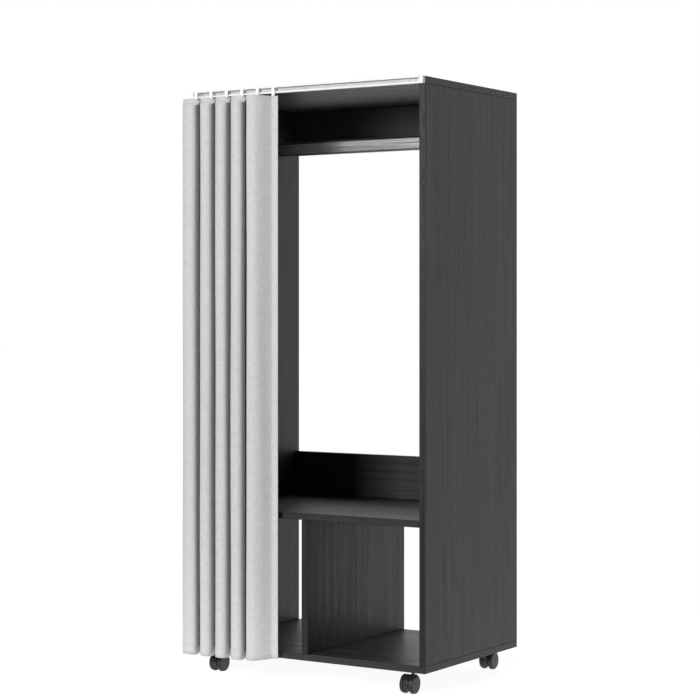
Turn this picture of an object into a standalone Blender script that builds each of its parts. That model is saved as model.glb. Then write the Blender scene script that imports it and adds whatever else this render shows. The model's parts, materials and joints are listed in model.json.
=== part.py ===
"""Curtain wardrobe on casters.

A laminated board carcass, open at the front and the back, with a shelf, a divider under it
and a hanging rod. A curtain hangs from gliders that run in a track along the top front edge.
Metres, +Z up, the front faces -Y, and the origin is on the floor, at the middle of the outer box.
"""
import math

import bmesh
import bpy
from mathutils import Matrix, Vector

# Fits
SEAM = 0.0003  # gap between pieces that touch
RUN = 0.0003  # gap round a piece that slides or turns in another
OVERRUN = 0.002  # how far a cutter passes a face
MERGE = 0.00001

# Carcass
WIDTH = 0.730
DEPTH = 0.490
CARCASS_HEIGHT = 1.500
BOARD = 0.018
BOARD_ROUND = 0.0008
CUBBY_HEIGHT = 0.348
TOP_BACK_HEIGHT = 0.105
MIDDLE_BACK_HEIGHT = 0.120

# Dowels and screws that join the boards
SEAM_INSET = 0.055  # from the front and back edges to the fasteners
DOWEL_RADIUS = 0.004
DOWEL_LENGTH = 0.028
DOWEL_IN_EDGE = 0.017  # the longer part, in the end of a board
DOWEL_CHAMFER = 0.0008
BOARD_SCREW_LENGTH = 0.050
BOARD_SCREW_RADIUS = 0.0025
BOARD_SCREW_HEAD_RADIUS = 0.0045
BOARD_SCREW_HEAD = 0.0035

# Casters
CASTER_HEIGHT = 0.060
CASTER_SIDE_INSET = 0.066
CASTER_FRONT_INSET = 0.052
CASTER_BACK_INSET = 0.055
CASTER_TRAIL = 0.017
WHEEL_DIAMETER = 0.047
WHEEL_WIDTH = 0.0125
WHEEL_EDGE = 0.0025
TYRE_HEIGHT = 0.0033
TYRE_GROOVE = 0.0008
HUB_WALL = 0.003
WEB = 0.0125
WEB_DROP = 0.0008  # how far the web stays inside the treads
WEB_LOW_ANGLE = math.radians(204)
WEB_TUCK_ANGLE = math.radians(4)  # the web ends this far inside the hood
WEB_HOLE_RADIUS = 0.0024
WEB_HOLE_DEPTH = 0.006
WEB_HOLE_RISE = 0.0045  # above the axle
HOOD_WALL = 0.0010
HOOD_GAP = 0.0005
HOOD_BACK_ANGLE = math.radians(5)
HOOD_FRONT_ANGLE = math.radians(137)
BOSS_FRONT_ANGLE = math.radians(70)
BOSS_MARGIN = 0.0006  # in front of the collar
BOSS_BACK = 0.008
BOSS_FOOT = 0.031
AXLE_RADIUS = 0.003
PIN_RADIUS = 0.0032
PIN_LENGTH = 0.016
COLLAR_RADIUS = 0.005
STEM_RADIUS = 0.004
STEM_DEPTH = 0.0145

# Hanging rod, a flat-sided oval tube that stands on edge
ROD_HEIGHT = 0.039
ROD_THICK = 0.017
ROD_WALL = 0.0012
ROD_DROP = 0.1264  # from the top panel's underside to the rod's middle
SOCKET_RIM = 0.0075  # how far a socket's flange reaches past its cup
SOCKET_FLANGE = 0.003
SOCKET_WALL = 0.002
SOCKET_DEPTH = 0.012

# Small countersunk screws
SCREW_HEAD_RADIUS = 0.003
SCREW_HEAD = 0.0018
SCREW_RADIUS = 0.0014
SCREW_LENGTH = 0.016

# Curtain track
TRACK_HEIGHT = 0.019
TRACK_DEPTH = 0.012
TRACK_WALL = 0.0015
TRACK_SLOT = 0.010
TRACK_SCREW_INSET = 0.035
CAP_LENGTH = 0.010
CAP_SPIGOT = 0.003
CAP_ROUND = 0.0008

# Gliders
GLIDERS = 6
GLIDER_WIDTH = 0.010
GLIDER_FACE = 0.003
GLIDER_FACE_HEIGHT = 0.0125
GLIDER_TAB = 0.011  # below the track
GLIDER_ROUND = 0.0005
FIRST_GLIDER_INSET = 0.0244  # from the side of the carcass to the first glider's middle
GLIDER_PITCH = 0.0504
EYE_DROP = 0.0045
EYE_RADIUS = 0.0013
EYE_SPACING = 0.0048
TONGUE_WIDTH = 0.006
TONGUE = 0.0017
TONGUE_LENGTH = 0.024
TONGUE_WELD = 0.0005

# Curtain
CLOTH = 0.0012
FOLD_DEPTH = 0.043
CURTAIN_TOP_DROP = 0.005  # below the track
CURTAIN_BOTTOM_DROP = 0.005  # below the carcass
FREE_TOP_SAG = 0.003
FREE_HEM_RISE = 0.006
# (share of the pitch from the hook before, share of the fold's depth)
FOLD_SHARES = (
    (0.30, 0.020), (0.56, 0.060), (0.70, 0.180), (0.765, 0.36), (0.785, 0.56), (0.835, 0.77), (0.935, 0.905),
    (1.07, 0.98), (1.20, 1.00), (1.35, 0.955), (1.48, 0.845), (1.56, 0.70), (1.59, 0.52), (1.57, 0.34),
    (1.48, 0.235), (1.32, 0.165), (1.12, 0.11), (0.99, 0.05), (1.00, 0.00),
)
FOLD_RIDGE = 8  # which point of a fold is its ridge
FIRST_EDGE_SHARES = ((0.79, 0.05), (0.745, 0.28), (0.75, 0.56), (0.80, 0.78), (0.90, 0.915), (1.05, 0.985))
# from the fourth hook: a flat pleat behind, the fifth hook, the broad fold in front of it, the sixth hook
LAST_SHARES = (
    (0.30, 0.010), (0.60, 0.005), (0.86, 0.005), (0.92, 0.015), (0.935, 0.040), (0.91, 0.065), (0.85, 0.075),
    (0.60, 0.075), (0.42, 0.080), (0.375, 0.105), (0.42, 0.135), (0.60, 0.142), (0.90, 0.140), (0.975, 0.125),
    (1.00, 0.075), (1.00, 0.000), (1.05, 0.020), (1.075, 0.09), (1.06, 0.17), (1.00, 0.205), (0.88, 0.215),
    (0.79, 0.245), (0.74, 0.33), (0.73, 0.50), (0.765, 0.68), (0.86, 0.815), (1.00, 0.89), (1.16, 0.91),
    (1.35, 0.86), (1.54, 0.70), (1.71, 0.46), (1.85, 0.20), (1.94, 0.05), (2.02, 0.00), (2.14, 0.00),
    (2.26, 0.01), (2.37, 0.03),
)
MITRE_SHARE = 0.35  # the least cosine that a mitred corner of the cloth is worked out with

# Round shapes
ROUND_STEPS = 24
SMALL_STEPS = 10
ARC_STEPS = 8
SMOOTH_ANGLE = math.radians(40)

# Places that follow from the sizes above
CARCASS_TOP = CASTER_HEIGHT + CARCASS_HEIGHT
SIDE_FOOT = CASTER_HEIGHT + BOARD
TOP_UNDERSIDE = CARCASS_TOP - BOARD
SHELF_FOOT = SIDE_FOOT + CUBBY_HEIGHT
SHELF_TOP = SHELF_FOOT + BOARD
INNER_HALF = WIDTH / 2 - BOARD
TRACK_STANDOFF = SEAM + TRACK_DEPTH
FACE_STANDOFF = TRACK_STANDOFF + RUN + GLIDER_FACE
TONGUE_STANDOFF = FACE_STANDOFF + TONGUE
POCKET_STANDOFF = TONGUE_STANDOFF + SEAM + CLOTH / 2
CURTAIN_REACH = POCKET_STANDOFF + FOLD_DEPTH + CLOTH / 2
MID_Y = CURTAIN_REACH / 2
FRONT_Y = MID_Y - DEPTH / 2
BACK_Y = MID_Y + DEPTH / 2
TRACK_MID_Z = CARCASS_TOP - TRACK_HEIGHT / 2
TRACK_FOOT = CARCASS_TOP - TRACK_HEIGHT
ROD_Z = TOP_UNDERSIDE - ROD_DROP
EYE_Z = TRACK_FOOT - EYE_DROP
CURTAIN_TOP = TRACK_FOOT - CURTAIN_TOP_DROP
CURTAIN_FOOT = CASTER_HEIGHT - CURTAIN_BOTTOM_DROP
WHEEL_RADIUS = WHEEL_DIAMETER / 2
FIRST_GLIDER_X = -WIDTH / 2 + FIRST_GLIDER_INSET

X_AXIS, Y_AXIS, Z_AXIS = Vector((1, 0, 0)), Vector((0, 1, 0)), Vector((0, 0, 1))
# A placing for an outline in (y, z) that is pushed along X: its local X goes to Y and its local Y to Z
SIDE_VIEW = Matrix(((0, 0, 1, 0), (1, 0, 0, 0), (0, 1, 0, 0), (0, 0, 0, 1)))
# The same with its local X to -Y, for depths that are measured forwards
SECTION = Matrix(((0, 0, -1, 0), (-1, 0, 0, 0), (0, 1, 0, 0), (0, 0, 0, 1)))


def material(name, colour, roughness, metallic=0.0):
    """A plain Principled material."""
    made = bpy.data.materials.new(name)
    made.use_nodes = True
    shader = made.node_tree.nodes["Principled BSDF"]
    shader.inputs["Base Color"].default_value = (*colour, 1.0)
    shader.inputs["Roughness"].default_value = roughness
    shader.inputs["Metallic"].default_value = metallic
    return made


def made_object(name, bm, skin, at=(0, 0, 0), round_shape=False):
    """An object from a bmesh whose faces are turned to point out."""
    bmesh.ops.recalc_face_normals(bm, faces=bm.faces)
    mesh = bpy.data.meshes.new(name)
    bm.to_mesh(mesh)
    bm.free()
    mesh.materials.append(skin)
    made = bpy.data.objects.new(name, mesh)
    bpy.context.collection.objects.link(made)
    made.location = at
    if round_shape:
        shade_round(made)
    return made


def shade_round(made):
    made.data.shade_smooth()
    made.data.set_sharp_from_angle(angle=SMOOTH_ANGLE)


def add_box(bm, low, high, place=Matrix()):
    """A box between two corners, then placed."""
    size = Vector(high) - Vector(low)
    middle = (Vector(high) + Vector(low)) / 2
    shape = Matrix.Translation(middle) @ Matrix.Diagonal((*size, 1))
    bmesh.ops.create_cube(bm, size=1, matrix=place @ shape)


def add_turned(bm, profile, steps, place=Matrix()):
    """A profile of (radius, height) points turned round the local Z, then placed.

    A profile that starts and ends on the axis makes a plug, any other one a ring.
    """
    rings = []
    for radius, height in profile:
        count = steps if radius > MERGE else 1
        angles = [math.tau * k / steps for k in range(count)]
        points = [place @ Vector((radius * math.cos(a), radius * math.sin(a), height)) for a in angles]
        rings.append([bm.verts.new(p) for p in points])
    pairs = list(zip(rings, rings[1:]))
    if profile[0][0] > MERGE:
        pairs.append((rings[-1], rings[0]))
    for low, high in pairs:
        for k in range(steps):
            corners = [low[k % len(low)], low[(k + 1) % len(low)]]
            corners += [high[(k + 1) % len(high)], high[k % len(high)]]
            face = list(dict.fromkeys(corners))
            if len(face) > 2:
                bm.faces.new(face)


def add_pushed(bm, outline, depth, place=Matrix()):
    """An outline of (x, y) points pushed along the local Z by depth, centred on it, then placed."""
    points = [bm.verts.new((x, y, -depth / 2)) for x, y in outline]
    pushed = bmesh.ops.extrude_face_region(bm, geom=[bm.faces.new(points)])
    moved = [v for v in pushed["geom"] if isinstance(v, bmesh.types.BMVert)]
    bmesh.ops.translate(bm, vec=Z_AXIS * depth, verts=moved)
    bmesh.ops.transform(bm, matrix=place, verts=points + moved)


def along(axis, at=(0, 0, 0)):
    """A placing that turns the local Z onto an axis and moves to a point."""
    return Matrix.Translation(at) @ Z_AXIS.rotation_difference(Vector(axis)).to_matrix().to_4x4()


def arc(centre, radius, start, end, steps):
    """Points along an arc, both ends included."""
    angles = [start + (end - start) * k / steps for k in range(steps + 1)]
    return [(centre[0] + radius * math.cos(a), centre[1] + radius * math.sin(a)) for a in angles]


def oval(height, thick):
    """The outline of an upright, flat-sided oval, centred on zero."""
    reach = (height - thick) / 2
    top = arc((0, reach), thick / 2, 0, math.pi, 2 * ARC_STEPS)
    return top + arc((0, -reach), thick / 2, math.pi, math.tau, 2 * ARC_STEPS)


def cylinder(radius, low, high):
    """A profile for a plain round plug."""
    return [(0, low), (radius, low), (radius, high), (0, high)]


def boolean(target, operation, bm, name):
    """Cuts from a target, or joins to it, the bodies of a bmesh given in the target's own frame."""
    tool = made_object(name, bm, target.data.materials[0], target.location)
    tool.hide_render = True
    tool.display_type = "WIRE"
    step = target.modifiers.new(name, "BOOLEAN")
    step.operation = operation
    step.object = tool
    return tool


def settle(target, tools):
    """Keeps the evaluated mesh of a target and drops its modifiers and their tools."""
    bpy.context.view_layer.update()
    seen = target.evaluated_get(bpy.context.evaluated_depsgraph_get())
    mesh = bpy.data.meshes.new_from_object(seen)
    target.modifiers.clear()
    target.data = mesh
    for tool in tools:
        bpy.data.objects.remove(tool)


for old in list(bpy.data.objects):
    bpy.data.objects.remove(old)

LAMINATE = material("dark_wood_laminate", (0.050, 0.050, 0.053), 0.55)
BEECH = material("beech", (0.62, 0.45, 0.27), 0.7)
ZINC = material("zinc", (0.55, 0.56, 0.57), 0.4, 1.0)
STEEL = material("steel", (0.50, 0.50, 0.51), 0.35, 1.0)
SATIN_STEEL = material("satin_steel", (0.55, 0.54, 0.53), 0.3, 1.0)
WHITE_TRACK = material("white_enamelled_track", (0.82, 0.82, 0.83), 0.4)
WHITE_PLASTIC = material("white_plastic", (0.86, 0.86, 0.86), 0.45)
GREY_PLASTIC = material("grey_plastic", (0.10, 0.10, 0.10), 0.5)
LINEN = material("light_grey_linen", (0.62, 0.62, 0.63), 0.9)


def board(name, low, high):
    """A laminated board with eased edges."""
    middle = (Vector(low) + Vector(high)) / 2
    bm = bmesh.new()
    add_box(bm, Vector(low) - middle, Vector(high) - middle)
    made = made_object(name, bm, LAMINATE, middle)
    ease = made.modifiers.new("eased_edges", "BEVEL")
    ease.width = BOARD_ROUND
    ease.segments = 1
    return made


# Boards
half = WIDTH / 2
fit_half = INNER_HALF - SEAM
side_low = SIDE_FOOT + SEAM
side_high = TOP_UNDERSIDE - SEAM
back_low = BACK_Y - BOARD
middle_back_foot = SHELF_TOP + SEAM
bottom_panel = board("bottom_panel", (-half, FRONT_Y, CASTER_HEIGHT), (half, BACK_Y, SIDE_FOOT))
top_panel = board("top_panel", (-half, FRONT_Y, TOP_UNDERSIDE), (half, BACK_Y, CARCASS_TOP))
left_side_panel = board("left_side_panel", (-half, FRONT_Y, side_low), (-INNER_HALF, BACK_Y, side_high))
right_side_panel = board("right_side_panel", (INNER_HALF, FRONT_Y, side_low), (half, BACK_Y, side_high))
shelf = board("shelf", (-fit_half, FRONT_Y, SHELF_FOOT), (fit_half, BACK_Y, SHELF_TOP))
divider = board("divider", (-BOARD / 2, FRONT_Y, side_low), (BOARD / 2, BACK_Y, SHELF_FOOT - SEAM))
top_back_board = board(
    "top_back_board", (-fit_half, back_low, side_high - TOP_BACK_HEIGHT), (fit_half, BACK_Y, side_high)
)
middle_back_board = board(
    "middle_back_board",
    (-fit_half, back_low, middle_back_foot),
    (fit_half, BACK_Y, middle_back_foot + MIDDLE_BACK_HEIGHT),
)

boards = (
    bottom_panel, top_panel, left_side_panel, right_side_panel, shelf, divider, top_back_board,
    middle_back_board,
)
board_cuts = {}


def drill(target, profile, place):
    """Adds a round cut, placed in the world, to those that a board gets."""
    if target.name not in board_cuts:
        board_cuts[target.name] = bmesh.new()
    add_turned(board_cuts[target.name], profile, SMALL_STEPS, Matrix.Translation(-target.location) @ place)


def screw_profile(head_radius, head, radius, length, grow=0.0):
    """A countersunk screw, its head's face at zero and its point down; grow widens it into its own hole."""
    top = OVERRUN if grow else 0
    shank = radius + grow
    profile = [(0, -length - grow), (shank, -length - grow), (shank, -head), (head_radius + grow, 0)]
    if grow:
        profile.append((head_radius + grow, top))
    return [*profile, (0, top)]


def steel_screw(name, sizes, place, targets, bodies=()):
    """One screw and its hole in each board, and in the cutter of each other body, that it passes."""
    bm = bmesh.new()
    add_turned(bm, screw_profile(*sizes), SMALL_STEPS)
    made = made_object(name, bm, ZINC, round_shape=True)
    made.matrix_world = place
    hole = screw_profile(*sizes, RUN)
    for target in targets:
        drill(target, hole, place)
    for body, cutter in bodies:
        add_turned(cutter, hole, SMALL_STEPS, Matrix.Translation(-body.location) @ place)


# Screws through the top and bottom panels into the sides and the divider, and dowels at the shelf's ends
board_screw = (BOARD_SCREW_HEAD_RADIUS, BOARD_SCREW_HEAD, BOARD_SCREW_RADIUS, BOARD_SCREW_LENGTH)
dowel_in_face = DOWEL_LENGTH - DOWEL_IN_EDGE
dowel_end = DOWEL_RADIUS - DOWEL_CHAMFER
dowel_profile = [
    (0, -dowel_in_face), (dowel_end, -dowel_in_face), (DOWEL_RADIUS, DOWEL_CHAMFER - dowel_in_face),
    (DOWEL_RADIUS, DOWEL_IN_EDGE - DOWEL_CHAMFER), (dowel_end, DOWEL_IN_EDGE), (0, DOWEL_IN_EDGE),
]
for row_name, row in (("front", FRONT_Y + SEAM_INSET), ("back", BACK_Y - SEAM_INSET)):
    up_through = along(-Z_AXIS, (0, row, CASTER_HEIGHT))
    steel_screw(f"divider_screw_{row_name}", board_screw, up_through, (bottom_panel, divider))
    for side_name, side, panel in (("left", -1, left_side_panel), ("right", 1, right_side_panel)):
        wall_mid = side * (half - BOARD / 2)
        name = f"{side_name}_{row_name}"
        from_top = along(Z_AXIS, (wall_mid, row, CARCASS_TOP))
        from_below = along(-Z_AXIS, (wall_mid, row, CASTER_HEIGHT))
        steel_screw(f"top_screw_{name}", board_screw, from_top, (top_panel, panel))
        steel_screw(f"bottom_screw_{name}", board_screw, from_below, (bottom_panel, panel))
        place = along(-X_AXIS * side, (side * INNER_HALF, row, (SHELF_FOOT + SHELF_TOP) / 2))
        bm = bmesh.new()
        add_turned(bm, dowel_profile, SMALL_STEPS)
        made_object(f"shelf_dowel_{name}", bm, BEECH, round_shape=True).matrix_world = place
        drill(panel, cylinder(DOWEL_RADIUS + RUN, -dowel_in_face - RUN, OVERRUN), place)
        drill(shelf, cylinder(DOWEL_RADIUS + RUN, -OVERRUN, DOWEL_IN_EDGE + RUN), place)

# Hanging rod between two sockets
small_screw = (SCREW_HEAD_RADIUS, SCREW_HEAD, SCREW_RADIUS, SCREW_LENGTH)
socket_seat = SEAM + SOCKET_FLANGE
rod_half = INNER_HALF - socket_seat - SEAM
bm = bmesh.new()
add_pushed(bm, oval(ROD_HEIGHT, ROD_THICK), 2 * rod_half, SIDE_VIEW)
rod = made_object("hanging_rod", bm, SATIN_STEEL, (0, MID_Y, ROD_Z))
bm = bmesh.new()
rod_bore = oval(ROD_HEIGHT - 2 * ROD_WALL, ROD_THICK - 2 * ROD_WALL)
add_pushed(bm, rod_bore, 2 * (rod_half + OVERRUN), SIDE_VIEW)
settle(rod, [boolean(rod, "DIFFERENCE", bm, "rod_bore")])
shade_round(rod)


def socket_body(wider, start, end, side):
    """A slice of a socket, wider than the rod on each side, between two distances from its wall face."""
    made = bmesh.new()
    outline = oval(ROD_HEIGHT + 2 * wider, ROD_THICK + 2 * wider)
    place = Matrix.Translation(-X_AXIS * side * (start + end) / 2) @ SIDE_VIEW
    add_pushed(made, outline, end - start, place)
    return made


cup_end = SOCKET_FLANGE + SOCKET_DEPTH
for name, side, panel in (("left", -1, left_side_panel), ("right", 1, right_side_panel)):
    flange = socket_body(SEAM + SOCKET_WALL + SOCKET_RIM, 0, SOCKET_FLANGE, side)
    cup = socket_body(SEAM + SOCKET_WALL, 0, cup_end, side)
    cup_bore = socket_body(SEAM, SOCKET_FLANGE, cup_end + OVERRUN, side)
    wall_face = (side * (INNER_HALF - SEAM), MID_Y, ROD_Z)
    socket = made_object(f"rod_socket_{name}", flange, SATIN_STEEL, wall_face)
    place = along(-X_AXIS * side, (side * (INNER_HALF - socket_seat), MID_Y, ROD_Z))
    steel_screw(f"rod_socket_screw_{name}", small_screw, place, (panel,), ((socket, cup_bore),))
    tools = [boolean(socket, "UNION", cup, "cup"), boolean(socket, "DIFFERENCE", cup_bore, "cup_bore")]
    settle(socket, tools)
    shade_round(socket)

# Curtain track, a channel that opens to the front; outlines lie in (y, z) with y measured from its back
track_half = TRACK_HEIGHT / 2
slot_half = TRACK_SLOT / 2
channel_half = track_half - TRACK_WALL
lip_back = TRACK_DEPTH - TRACK_WALL
track_outline = [
    (0, -track_half), (TRACK_DEPTH, -track_half), (TRACK_DEPTH, -slot_half), (lip_back, -slot_half),
    (lip_back, -channel_half), (TRACK_WALL, -channel_half), (TRACK_WALL, channel_half),
    (lip_back, channel_half), (lip_back, slot_half), (TRACK_DEPTH, slot_half), (TRACK_DEPTH, track_half),
    (0, track_half),
]
track_back = FRONT_Y - SEAM
track_run = half - CAP_LENGTH - SEAM
bm = bmesh.new()
add_pushed(bm, track_outline, 2 * track_run, SECTION)
track = made_object("curtain_track", bm, WHITE_TRACK, (0, track_back, TRACK_MID_Z))
bm = bmesh.new()
for name, x in (("left", TRACK_SCREW_INSET - half), ("middle", 0), ("right", half - TRACK_SCREW_INSET)):
    place = along(-Y_AXIS, (x, track_back - TRACK_WALL, TRACK_MID_Z))
    steel_screw(f"track_screw_{name}", small_screw, place, (top_panel,), ((track, bm),))
settle(track, [boolean(track, "DIFFERENCE", bm, "track_screw_holes")])

# End caps, each with a spigot that fits the channel
spigot_low, spigot_high = TRACK_WALL + RUN, lip_back - RUN
spigot_half = channel_half - RUN
for name, side in (("left", -1), ("right", 1)):
    bm = bmesh.new()
    add_box(bm, (-CAP_LENGTH / 2, -TRACK_DEPTH, -track_half), (CAP_LENGTH / 2, 0, track_half))
    inner = sorted((0, -side * (CAP_LENGTH / 2 + CAP_SPIGOT)))
    spigot = bmesh.new()
    add_box(spigot, (inner[0], -spigot_high, -spigot_half), (inner[1], -spigot_low, spigot_half))
    cap_at = (side * (half - CAP_LENGTH / 2), track_back, TRACK_MID_Z)
    cap = made_object(f"track_cap_{name}", bm, WHITE_PLASTIC, cap_at)
    ease = cap.modifiers.new("eased_edges", "BEVEL")
    ease.width = CAP_ROUND
    ease.segments = 1
    settle(cap, [boolean(cap, "UNION", spigot, f"spigot_{name}")])

# Gliders in the track, each with two eyes and a tongue that goes into the curtain's hem tape
face_back, face_front = TRACK_STANDOFF + RUN - SEAM, FACE_STANDOFF - SEAM
neck_half = slot_half - RUN
face_half = GLIDER_FACE_HEIGHT / 2
tab_foot = -track_half - GLIDER_TAB
glider_outline = [
    (spigot_low, -spigot_half), (spigot_high, -spigot_half), (spigot_high, -neck_half),
    (face_back, -neck_half), (face_back, tab_foot), (face_front, tab_foot),
    (face_front, face_half), (face_back, face_half), (face_back, neck_half),
    (spigot_high, neck_half), (spigot_high, spigot_half), (spigot_low, spigot_half),
]
eye_z = EYE_Z - TRACK_MID_Z
tongue_front = TONGUE_STANDOFF - SEAM
bm = bmesh.new()
add_pushed(bm, glider_outline, GLIDER_WIDTH, SECTION)
glider = made_object("glider_1", bm, WHITE_PLASTIC)
ease = glider.modifiers.new("eased_edges", "BEVEL")
ease.width = GLIDER_ROUND
ease.segments = 1
tongue = bmesh.new()
tongue_low = (-TONGUE_WIDTH / 2, -tongue_front, eye_z - TONGUE_LENGTH)
tongue_high = (TONGUE_WIDTH / 2, TONGUE_WELD - face_front, eye_z - 2 * EYE_RADIUS)
add_box(tongue, tongue_low, tongue_high)
eyes = bmesh.new()
for side in (-1, 1):
    place = along(-Y_AXIS, (side * EYE_SPACING / 2, 0, eye_z))
    add_turned(eyes, cylinder(EYE_RADIUS, face_back - OVERRUN, face_front + OVERRUN), SMALL_STEPS, place)
tools = [boolean(glider, "UNION", tongue, "tongue"), boolean(glider, "DIFFERENCE", eyes, "eyes")]
settle(glider, tools)
shade_round(glider)
hook_places = [FIRST_GLIDER_X + GLIDER_PITCH * k for k in range(GLIDERS)]
for k, x in enumerate(hook_places):
    made = glider
    if k:
        made = bpy.data.objects.new(f"glider_{k + 1}", glider.data)
        bpy.context.collection.objects.link(made)
    made.location = (x, track_back, TRACK_MID_Z)


# Curtain, folded over itself from hook to hook
def smooth_step(share):
    share = min(max(share, 0), 1)
    return share * share * (3 - 2 * share)


def curtain_line():
    """The middle of the cloth, seen from above, from its left hem to its free hem."""
    first = hook_places[0] - GLIDER_PITCH
    points = [(first + GLIDER_PITCH * u, v) for u, v in (*FIRST_EDGE_SHARES, *FOLD_SHARES[FOLD_RIDGE:])]
    for hook_x in hook_places[:-3]:
        points += [(hook_x + GLIDER_PITCH * u, v) for u, v in FOLD_SHARES]
    points += [(hook_places[-3] + GLIDER_PITCH * u, v) for u, v in LAST_SHARES]
    return [Vector((x, FRONT_Y - POCKET_STANDOFF - FOLD_DEPTH * v)) for x, v in points]


def offset_line(line, distance):
    """A line moved sideways by a distance, with mitred corners."""
    moved = []
    for k, point in enumerate(line):
        before = (point - line[k - 1]).normalized() if k else None
        after = (line[k + 1] - point).normalized() if k + 1 < len(line) else before
        before = before or after
        normals = [Vector((-way.y, way.x)) for way in (before, after)]
        middle = (normals[0] + normals[1]).normalized()
        moved.append(point + middle * distance / max(middle.dot(normals[0]), MITRE_SHARE))
    return moved


bm = bmesh.new()
line = curtain_line()
free_start, free_end = hook_places[-2], line[-1].x
rows = []
for edge in (offset_line(line, CLOTH / 2), offset_line(line, -CLOTH / 2)):
    foot_row, top_row = [], []
    for middle, point in zip(line, edge):
        sag = smooth_step((middle.x - free_start) / (free_end - free_start))
        foot_row.append(bm.verts.new((*point, CURTAIN_FOOT + FREE_HEM_RISE * sag)))
        top_row.append(bm.verts.new((*point, CURTAIN_TOP - FREE_TOP_SAG * sag)))
    rows += [foot_row, top_row]
front_foot, front_top, back_foot, back_top = rows
sides = ((front_foot, front_top), (back_foot, back_top), (front_foot, back_foot), (front_top, back_top))
for low, high in sides:
    for k in range(len(line) - 1):
        bm.faces.new((low[k], low[k + 1], high[k + 1], high[k]))
for k in (0, -1):
    bm.faces.new((front_foot[k], back_foot[k], back_top[k], front_top[k]))
made_object("curtain", bm, LINEN, round_shape=True)

# Casters. Outlines lie in (y, z) with the swivel at y = 0 and the wheels trailing to -Y
axle_at = (-CASTER_TRAIL, WHEEL_RADIUS)
web_radius = WHEEL_RADIUS - WEB_DROP
web_front_angle = HOOD_FRONT_ANGLE - WEB_TUCK_ANGLE
hood_bore = WHEEL_RADIUS + HOOD_GAP
hood_radius = hood_bore + HOOD_WALL
web_half = WEB / 2
wheel_inside = web_half + RUN
hood_half = wheel_inside + WHEEL_WIDTH - WHEEL_EDGE
boss_front = COLLAR_RADIUS + BOSS_MARGIN
boss_top = WHEEL_RADIUS + math.sqrt(hood_radius ** 2 - (CASTER_TRAIL - boss_front) ** 2)
web_outline = [
    *arc(axle_at, web_radius, WEB_LOW_ANGLE, web_front_angle, ARC_STEPS),
    *arc(axle_at, hood_bore + HOOD_WALL / 2, web_front_angle, BOSS_FRONT_ANGLE, ARC_STEPS),
    (-boss_front, boss_top), (BOSS_BACK, boss_top), (BOSS_BACK, BOSS_FOOT),
    *arc(axle_at, web_radius, HOOD_BACK_ANGLE + WEB_TUCK_ANGLE, math.pi - WEB_LOW_ANGLE, ARC_STEPS),
]
hood_outline = [
    *arc(axle_at, hood_radius, HOOD_BACK_ANGLE, HOOD_FRONT_ANGLE, 2 * ARC_STEPS),
    *arc(axle_at, hood_bore, HOOD_FRONT_ANGLE, HOOD_BACK_ANGLE, 2 * ARC_STEPS),
]
web = bmesh.new()
add_pushed(web, web_outline, WEB, SIDE_VIEW)
hood = bmesh.new()
add_pushed(hood, hood_outline, 2 * hood_half, SIDE_VIEW)
housing = made_object("caster_housing", web, GREY_PLASTIC)
pin_foot = boss_top - PIN_LENGTH
collar_foot = boss_top + RUN
bores = bmesh.new()
add_turned(bores, cylinder(PIN_RADIUS + RUN, pin_foot - RUN, boss_top + OVERRUN), SMALL_STEPS)
axle_place = along(X_AXIS, (0, *axle_at))
axle_bore = cylinder(AXLE_RADIUS + RUN, -web_half - OVERRUN, web_half + OVERRUN)
add_turned(bores, axle_bore, SMALL_STEPS, axle_place)
web_hole = cylinder(WEB_HOLE_RADIUS, WEB_DROP - OVERRUN, WEB_DROP + WEB_HOLE_DEPTH)
web_hole_at = (0, -CASTER_TRAIL - WHEEL_RADIUS, WHEEL_RADIUS + WEB_HOLE_RISE)
add_turned(bores, web_hole, 2 * SMALL_STEPS, along(Y_AXIS, web_hole_at))
tools = [boolean(housing, "UNION", hood, "hood"), boolean(housing, "DIFFERENCE", bores, "caster_bores")]
settle(housing, tools)
shade_round(housing)

stem_foot = CASTER_HEIGHT - SEAM
stem_profile = [
    (0, pin_foot), (PIN_RADIUS, pin_foot), (PIN_RADIUS, collar_foot), (COLLAR_RADIUS, collar_foot),
    (COLLAR_RADIUS, stem_foot), (STEM_RADIUS, stem_foot), (STEM_RADIUS, CASTER_HEIGHT + STEM_DEPTH),
    (0, CASTER_HEIGHT + STEM_DEPTH),
]
bm = bmesh.new()
add_turned(bm, stem_profile, 2 * SMALL_STEPS)
stem = made_object("caster_stem", bm, STEEL, round_shape=True)

hub_inside = WHEEL_WIDTH - HUB_WALL
axle_half = wheel_inside + hub_inside - RUN
bm = bmesh.new()
add_turned(bm, cylinder(AXLE_RADIUS, -axle_half, axle_half), SMALL_STEPS, along(X_AXIS))
axle = made_object("caster_axle", bm, STEEL, round_shape=True)

axle_hole = AXLE_RADIUS + RUN
tyre_inside = WHEEL_RADIUS - TYRE_HEIGHT
groove_inside = tyre_inside - TYRE_GROOVE
wheel_profile = [
    (0, hub_inside), (axle_hole, hub_inside), (axle_hole, 0), (WHEEL_RADIUS - WHEEL_EDGE, 0),
    (WHEEL_RADIUS, WHEEL_EDGE), (WHEEL_RADIUS, WHEEL_WIDTH - 2 * WHEEL_EDGE),
    (WHEEL_RADIUS - WHEEL_EDGE / 2, WHEEL_WIDTH - WHEEL_EDGE / 2), (tyre_inside, WHEEL_WIDTH),
    (tyre_inside, WHEEL_WIDTH - TYRE_GROOVE), (groove_inside, WHEEL_WIDTH - TYRE_GROOVE),
    (groove_inside, WHEEL_WIDTH - TYRE_GROOVE / 2), (0, WHEEL_WIDTH),
]
bm = bmesh.new()
add_turned(bm, wheel_profile, ROUND_STEPS, along(X_AXIS))
wheel = made_object("caster_wheel", bm, GREY_PLASTIC, round_shape=True)


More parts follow.
